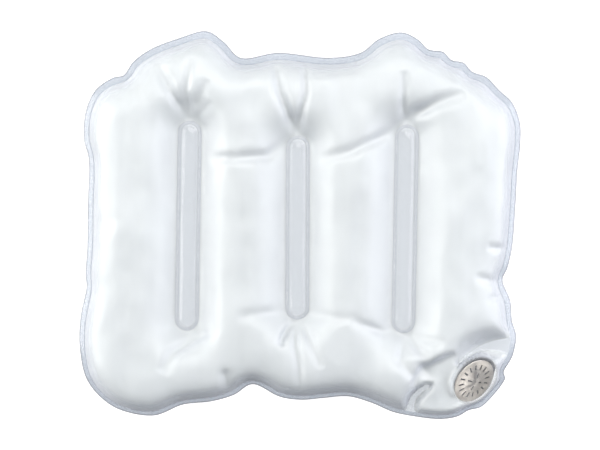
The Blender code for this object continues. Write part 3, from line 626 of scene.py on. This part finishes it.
class Look:
    """A material and short ways to add nodes to it."""

    def __init__(self, name):
        self.material = bpy.data.materials.new(name)
        self.material.use_nodes = True
        self.nodes = self.material.node_tree.nodes
        self.links = self.material.node_tree.links
        self.shader = self.nodes["Principled BSDF"]
        self.output = self.nodes["Material Output"]
        self.place = self.nodes.new("ShaderNodeTexCoord").outputs["Object"]

    def set(self, **inputs):
        for key, value in inputs.items():
            self.shader.inputs[key.replace("_", " ")].default_value = value

    def drive(self, name, value):
        self.links.new(value, self.shader.inputs[name])

    def node(self, kind, inputs=None, **settings):
        made = self.nodes.new("ShaderNode" + kind)
        for key, value in settings.items():
            setattr(made, key, value)
        for key, value in (inputs or {}).items():
            if isinstance(value, bpy.types.NodeSocket):
                self.links.new(value, made.inputs[key])
            else:
                made.inputs[key].default_value = value
        return made

    def math(self, operation, a, b):
        return self.node("Math", {0: a, 1: b}, operation=operation).outputs[0]

    def vector_math(self, operation, a, b, output):
        return self.node("VectorMath", {0: a, 1: b}, operation=operation).outputs[output]

    def from_range(self, value, low, high, least=0.0, most=1.0):
        """The value carried from low..high to least..most, and held there beyond."""
        inputs = {"Value": value, "From Min": low, "From Max": high, "To Min": least, "To Max": most}
        return self.node("MapRange", inputs).outputs["Result"]

    def mixed(self, share, first, second):
        """A mix of two colours, each a constant or a socket."""
        colours = [c if isinstance(c, bpy.types.NodeSocket) else (*c, 1) for c in (first, second)]
        return self.node("Mix", {0: share, 6: colours[0], 7: colours[1]}, data_type="RGBA").outputs[2]

    def noise(self, scale, detail=2.0):
        inputs = {"Vector": self.place, "Scale": scale, "Detail": detail}
        return self.node("TexNoise", inputs).outputs["Fac"]

    def ramp(self, value, low, high):
        """A noise's value carried to low..high, where each is a number or a colour."""
        if isinstance(low, (int, float)):
            return self.from_range(value, *NOISE_RANGE, low, high)
        made = self.node("ValToRGB", {"Fac": value})
        for element, position, colour in zip(made.color_ramp.elements, NOISE_RANGE, (low, high)):
            element.position = position
            element.color = (*colour, 1)
        return made.outputs["Color"]

    def bump(self, height, distance):
        made = self.node("Bump", {"Height": height, "Distance": distance})
        self.drive("Normal", made.outputs["Normal"])
        return made.outputs["Normal"]

    def facing(self):
        """0 where the surface is seen face on, rising to 1 where it is seen edge on."""
        return self.node("LayerWeight", {"Blend": 0.5}).outputs["Facing"]

    def from_disc(self, centre, reach):
        """How far out in plan, as a share of an ellipse along the disc's level axis and up its slope."""
        _, level, climb, _ = disc_frame()
        uphill = Vector((climb.x, climb.y, 0)).normalized()
        place = self.vector_math("SUBTRACT", self.place, [c * MM for c in centre], "Vector")
        across = self.vector_math("DOT_PRODUCT", place, level / (reach[0] * MM), "Value")
        up = self.vector_math("DOT_PRODUCT", place, uphill / (reach[1] * MM), "Value")
        squares = self.math("ADD", self.math("MULTIPLY", across, across), self.math("MULTIPLY", up, up))
        return self.math("SQRT", squares, 0)

    def off_disc(self, least):
        """The least value over the trigger disc, rising to 1 away from it."""
        return self.from_range(self.from_disc(CLEAR_CENTRE, CLEAR_REACH), 1.0, CLEAR_FADE, least)

    def at_a_slant(self, face_on, slanted):
        """Base colour from face on to edge on: partly the longer path through the film there, partly
        painted shade for the dark edges that a clear film over liquid shows by refraction.
        """
        share = self.from_range(self.facing(), *SLANT_RANGE)
        self.drive("Base Color", self.mixed(share, face_on, slanted))

    def see_through(self, solid, tint, gloss, roughness, normal):
        """Mixes in what lies behind: the solid share is the film's own face on, and more at a slant.
        The outer face also takes a gloss of its own, stronger at a slant."""
        facing = self.facing()
        rise = self.math("MULTIPLY", self.math("POWER", facing, BODY_POWER), BODY_AT_SLANT - solid)
        share = self.math("MULTIPLY", self.math("ADD", rise, solid), self.off_disc(BODY_OVER_DISC))
        clear = self.node("BsdfTransparent", {"Color": (*tint, 1)})
        body = self.node("MixShader", {0: share, 1: clear.outputs[0], 2: self.shader.outputs[0]})
        slanted = self.math("MULTIPLY", self.math("POWER", facing, GLOSS_POWER), GLOSS_AT_SLANT)
        outside = self.math("SUBTRACT", 1.0, self.node("NewGeometry").outputs["Backfacing"])
        mirror = self.math("MULTIPLY", self.math("ADD", slanted, gloss), outside)
        shine = self.node("BsdfGlossy", {"Roughness": roughness, "Normal": normal})
        glossed = self.node("MixShader", {0: mirror, 1: body.outputs[0], 2: shine.outputs[0]})
        self.links.new(glossed.outputs[0], self.output.inputs["Surface"])


def film_look(name, face_on, slanted, tint, solid, gloss, roughness):
    look = Look(name)
    look.at_a_slant(face_on, slanted)
    satin = look.ramp(look.noise(60, 3), roughness * 0.7, roughness * 1.4)
    look.drive("Roughness", satin)
    normal = look.bump(look.noise(450), GRAIN)
    look.see_through(solid, tint, gloss, satin, normal)
    return look.material


def solution_look():
    """Faintly milky liquid, clear over the disc and dark where the disc shades it."""
    look = Look("salt_solution")
    look.set(Roughness=0.5, IOR=1.5)
    cloud = look.math("MULTIPLY", look.off_disc(0.0), look.ramp(look.noise(45), 0.62, 0.7))
    # the shadow shows on the inside of the liquid's underside, which is seen through the slits
    shaded = look.from_range(look.from_disc(SHADOW_CENTRE, SHADOW_REACH), 1.0, SHADOW_FADE)
    centre, _, _, normal = disc_frame()
    place = look.vector_math("SUBTRACT", look.place, centre * MM, "Vector")
    height = look.vector_math("DOT_PRODUCT", place, normal, "Value")
    under = look.math("LESS_THAN", height, -SHADOW_DEPTH * MM)
    shaded = look.math("MULTIPLY", look.math("MULTIPLY", shaded, under),
                       look.node("NewGeometry").outputs["Backfacing"])
    look.drive("Alpha", look.math("MAXIMUM", cloud, look.math("MULTIPLY", shaded, SHADOW_SOLID)))
    body = look.ramp(look.noise(28, 3), (0.84, 0.865, 0.87), (0.88, 0.90, 0.905))
    look.drive("Base Color", look.mixed(shaded, body, (0.06, 0.06, 0.07)))
    return look.material


def steel_look():
    look = Look("disc_steel")
    look.set(Metallic=1.0)
    look.drive("Base Color", look.ramp(look.noise(500, 3), (0.59, 0.537, 0.49), (0.7, 0.65, 0.6)))
    look.drive("Roughness", look.ramp(look.noise(900), 0.3, 0.45))
    look.bump(look.noise(2500), GRAIN)
    return look.material


def cut_look():
    """Unseen: the faces where a piece goes on into the next one."""
    look = Look("cut_face")
    look.set(Alpha=0.0, Roughness=1.0)
    return look.material


# Each slanted colour, darker and bluer than face on, is partly the longer path through the film and partly
# painted shade for the dark edges that refraction gives.
FILM_LOOK = film_look("clear_film", face_on=(0.82, 0.835, 0.84), slanted=(0.76, 0.785, 0.85),
                      tint=(0.985, 0.99, 0.99), solid=0.13, gloss=0.04, roughness=0.4)
RIM_LOOK = film_look("cut_edge", face_on=(0.42, 0.44, 0.48), slanted=(0.12, 0.13, 0.17),
                     tint=(0.9, 0.91, 0.93), solid=0.3, gloss=0.03, roughness=0.15)
WELD_LOOK = film_look("welded_film", face_on=(0.55, 0.57, 0.6), slanted=(0.3, 0.32, 0.38),
                      tint=(0.925, 0.935, 0.945), solid=0.08, gloss=0.03, roughness=0.12)
BEAD_LOOK = film_look("bar_bead", face_on=(0.62, 0.64, 0.66), slanted=(0.52, 0.54, 0.6),
                      tint=(0.9, 0.91, 0.922), solid=0.13, gloss=0.03, roughness=0.2)
FLANGE_LOOK = film_look("edge_flange", face_on=(0.5, 0.52, 0.55), slanted=(0.34, 0.37, 0.44),
                        tint=(0.885, 0.9, 0.92), solid=0.1, gloss=0.03, roughness=0.15)
SOLUTION_LOOK = solution_look()
STEEL_LOOK = steel_look()
CUT_LOOK = cut_look()
FILM_LOOKS = [FILM_LOOK, WELD_LOOK, BEAD_LOOK, FLANGE_LOOK, RIM_LOOK, CUT_LOOK]


# ---- Pieces -----------------------------------------------------------------------------

def film_slots():
    """Which of the film's looks each triangle takes: a zone's, where all its corners lie in it."""
    inset, half_width = BEAD_ZONE
    on_bead = np.zeros(len(verts), bool)
    for ends in BARS.values():
        on_bead |= np.abs(to_line(verts, ends)[0] - BAR_HALF_WIDTH + inset) < half_width
    slots = np.zeros(len(faces), int)
    for slot, zone in enumerate((held, on_bead, on_flange, to_cut < RIM_ZONE), start=1):
        slots[zone[faces].all(axis=1)] = slot
    return slots


def vertex_normals(points):
    a, b, c = (points[faces[:, k]] for k in range(3))
    turned = np.cross(b - a, c - a)
    total = np.zeros_like(points)
    for k in range(3):
        np.add.at(total, faces[:, k], turned)
    return total / np.maximum(np.linalg.norm(total, axis=1), 1e-12)[:, None]


def border(triangles):
    """Directed edges that only one triangle has."""
    edges = np.vstack([triangles[:, [0, 1]], triangles[:, [1, 2]], triangles[:, [2, 0]]])
    keys = {tuple(e) for e in edges}
    return np.array([e for e in edges if (e[1], e[0]) not in keys])


def shell(name, top, bottom, chosen, slots, looks):
    """A closed piece between two layers of the plan. Its side walls take the last, unseen, look where
    the piece goes on into the next one, and the last look but one elsewhere."""
    used = faces[chosen]
    keep, local = np.unique(used, return_inverse=True)
    local = local.reshape(used.shape)
    count = len(keep)
    rim = border(local)
    walls = np.vstack([np.column_stack([rim[:, 1], rim[:, 0], rim[:, 0] + count]),
                       np.column_stack([rim[:, 1], rim[:, 0] + count, rim[:, 1] + count])])
    at_split = np.zeros(len(rim), bool)
    for x in SPLITS:
        at_split |= (np.abs(verts[keep[rim]][:, :, 0] - x) < 1e-3).all(axis=1)
    wall_slots = np.where(at_split, len(looks) - 1, len(looks) - 2)
    points = np.vstack([top[keep], bottom[keep]])
    triangles = np.vstack([local, local[:, ::-1] + count, walls])
    all_slots = np.concatenate([slots[chosen], slots[chosen], wall_slots, wall_slots])
    made = bpy.data.meshes.new(name)
    made.from_pydata((points * MM).tolist(), [], triangles.tolist())
    for look in looks:
        made.materials.append(look)
    made.polygons.foreach_set("material_index", all_slots.astype(np.int32))
    made.shade_smooth()
    normals = np.vstack([vertex_normals(top)[keep], -vertex_normals(bottom)[keep]])
    made.normals_split_custom_set_from_vertices(normals.tolist())
    piece = bpy.data.objects.new(name, made)
    bpy.context.scene.collection.objects.link(piece)
    return piece


def layer(z):
    return np.column_stack([verts, z])


weld = weld_height()
membrane = Membrane()
front, back = creased(front_height(membrane)), back_height(membrane)
rounding = cut_rounding()
front += np.where(held, bar_relief() - rounding, 0)
back += np.where(held, rounding, 0)
droop = edge_droop()
front, back, weld = front - droop, back - droop, weld - droop
front_in = np.where(free, np.maximum(front - FILM, weld + GAP), weld + GAP)
back_in = np.where(free, np.minimum(back + FILM, weld - GAP), weld - GAP)
liquid_top = np.where(free, np.maximum(front_in - LIQUID_GAP, weld + LIQUID_EDGE), weld + LIQUID_EDGE)
liquid_bottom = np.where(free, np.minimum(back_in + LIQUID_GAP, weld - LIQUID_EDGE), weld - LIQUID_EDGE)

middles = verts[faces].mean(axis=1)[:, 0]
part_of = {
    "left": middles < SPLITS[0],
    "centre": (middles > SPLITS[0]) & (middles < SPLITS[1]),
    "right": middles > SPLITS[1],
}
everywhere = np.ones(len(faces), bool)
wet = free[faces].any(axis=1)
zones = film_slots()
layers = {
    "front_film": (layer(front), layer(front_in), everywhere, zones, FILM_LOOKS),
    "back_film": (layer(back_in), layer(back), everywhere, zones, FILM_LOOKS),
    "solution": (layer(liquid_top), layer(liquid_bottom), wet, np.zeros(len(faces), int),
                 [SOLUTION_LOOK, CUT_LOOK]),
}
for sheet, (top, bottom, allowed, slots, looks) in layers.items():
    for fold, chosen in part_of.items():
        piece = shell(f"{sheet}_{fold}", top, bottom, chosen & allowed, slots, looks)
        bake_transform(piece)
        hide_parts(*NODES[sheet][fold])

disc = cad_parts["trigger_disc"]
disc.data.materials.clear()
disc.data.materials.append(STEEL_LOOK)


# ---- Stage, light and camera, in metres -------------------------------------------------

FLOOR_SIZE = 4.0
FLOOR_HEIGHT = -0.0003
CAMERA_HEIGHT = 0.6893


def add_floor():
    """A plain floor that the camera sees as white, and that throws a dimmer light back."""
    bpy.ops.mesh.primitive_plane_add(size=FLOOR_SIZE, location=(0, 0, FLOOR_HEIGHT))
    floor = bpy.context.object
    floor.name = "floor"
    look = Look("floor")
    look.set(Base_Color=(0.4, 0.4, 0.4, 1), Roughness=1.0, IOR=1.0, Emission_Color=(1, 1, 1, 1))
    look.drive("Emission Strength", look.node("LightPath").outputs["Is Camera Ray"])
    floor.data.materials.append(look.material)


def softbox(name, place, size, power, colour):
    """A rectangular light that faces the pack."""
    data = bpy.data.lights.new(name, "AREA")
    data.shape = "RECTANGLE"
    data.size, data.size_y = size
    data.energy = power
    data.color = colour
    made = bpy.data.objects.new(name, data)
    bpy.context.scene.collection.objects.link(made)
    made.location = place
    made.rotation_euler = (-Vector(place)).to_track_quat("-Z", "Y").to_euler()
    made.visible_camera = False
    return made


def add_world():
    world = bpy.data.worlds.new("studio")
    bpy.context.scene.world = world
    world.use_nodes = True
    background = world.node_tree.nodes["Background"]
    background.inputs["Color"].default_value = (0.82, 0.89, 1.0, 1)
    background.inputs["Strength"].default_value = 0.3


def add_camera():
    data = bpy.data.cameras.new("camera")
    data.lens = 100
    data.sensor_width = 36
    camera = bpy.data.objects.new("camera", data)
    bpy.context.scene.collection.objects.link(camera)
    camera.location = (0, 0, CAMERA_HEIGHT)
    bpy.context.scene.camera = camera


add_floor()
softbox("key_left", place=(-0.72, 0.12, 0.33), size=(0.65, 0.65), power=6.3, colour=(1.0, 0.985, 0.965))
softbox("fill_right", place=(0.72, 0.12, 0.33), size=(0.65, 0.65), power=4.8, colour=(0.95, 0.94, 1.0))
softbox("overhead", place=(0.12, 0.43, 0.88), size=(1.0, 0.5), power=7.6, colour=(1.0, 0.985, 0.96))
glint = softbox("disc_glint", place=(0.44, -0.545, 0.13), size=(0.38, 0.3), power=0.85,
                colour=(1.0, 0.97, 0.93))
only_disc = bpy.data.collections.new("disc_glint_falls_on")
only_disc.objects.link(disc)
glint.light_linking.receiver_collection = only_disc
add_world()
add_camera()
bpy.context.scene.view_settings.view_transform = "Standard"
